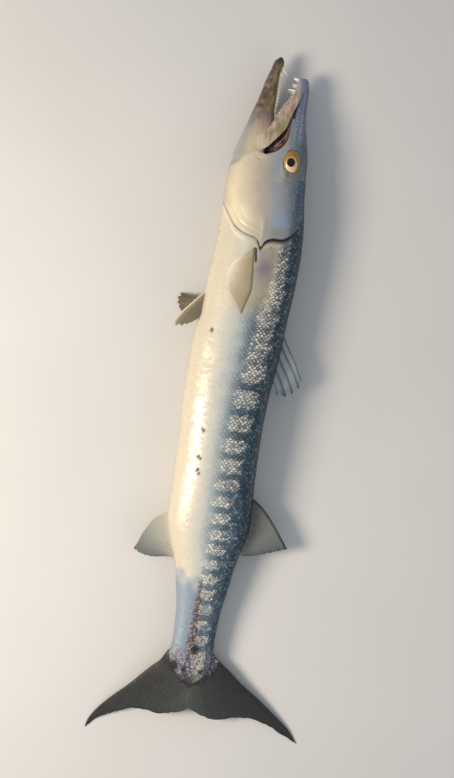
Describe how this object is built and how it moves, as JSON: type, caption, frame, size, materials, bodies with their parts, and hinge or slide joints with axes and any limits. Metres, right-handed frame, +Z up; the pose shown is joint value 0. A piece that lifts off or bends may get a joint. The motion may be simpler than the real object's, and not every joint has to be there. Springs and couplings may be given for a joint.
{
  "type": "great barracuda",
  "caption": "Life-size great barracuda lying on its right flank, jaws open on fanged teeth, fins spread, still display model.",
  "frame": {"origin": "on the floor under the centre of the whole fish's bounding box", "axes": "+Z up off the floor and towards the fish's left flank, +Y towards the snout, +X towards the back fins"},
  "size_m": [0.316, 1.02, 0.0896],
  "materials": {
    "skin": "wet, silvery scaled skin",
    "gill": "wet, smooth silvery skin",
    "jaw": "wet, smooth tan skin with ivory teeth",
    "fin": "dark, damp fin membrane",
    "pale_fin": "pale, damp fin membrane",
    "eye": "clear, wet eye with a gold ring",
    "mouth": "wet mouth lining"
  },
  "bodies": {
    "root": {"head": "skin", "eye_left": "eye", "eye_right": "eye", "gill_cover_left": "gill", "gill_cover_right": "gill", "upper_jaw": "jaw", "lower_jaw": "jaw", "tongue": "mouth", "torso_front": "skin", "torso_middle": "skin", "torso_rear": "skin", "tail_stalk": "skin", "tail_fin_upper_lobe": "fin", "tail_fin_lower_lobe": "fin", "first_dorsal_fin": "fin", "second_dorsal_fin": "fin", "anal_fin": "pale_fin", "pectoral_fin_left": "pale_fin", "pectoral_fin_right": "pale_fin", "pelvic_fin_left": "pale_fin", "pelvic_fin_right": "pale_fin"}
  },
  "joints": []
}
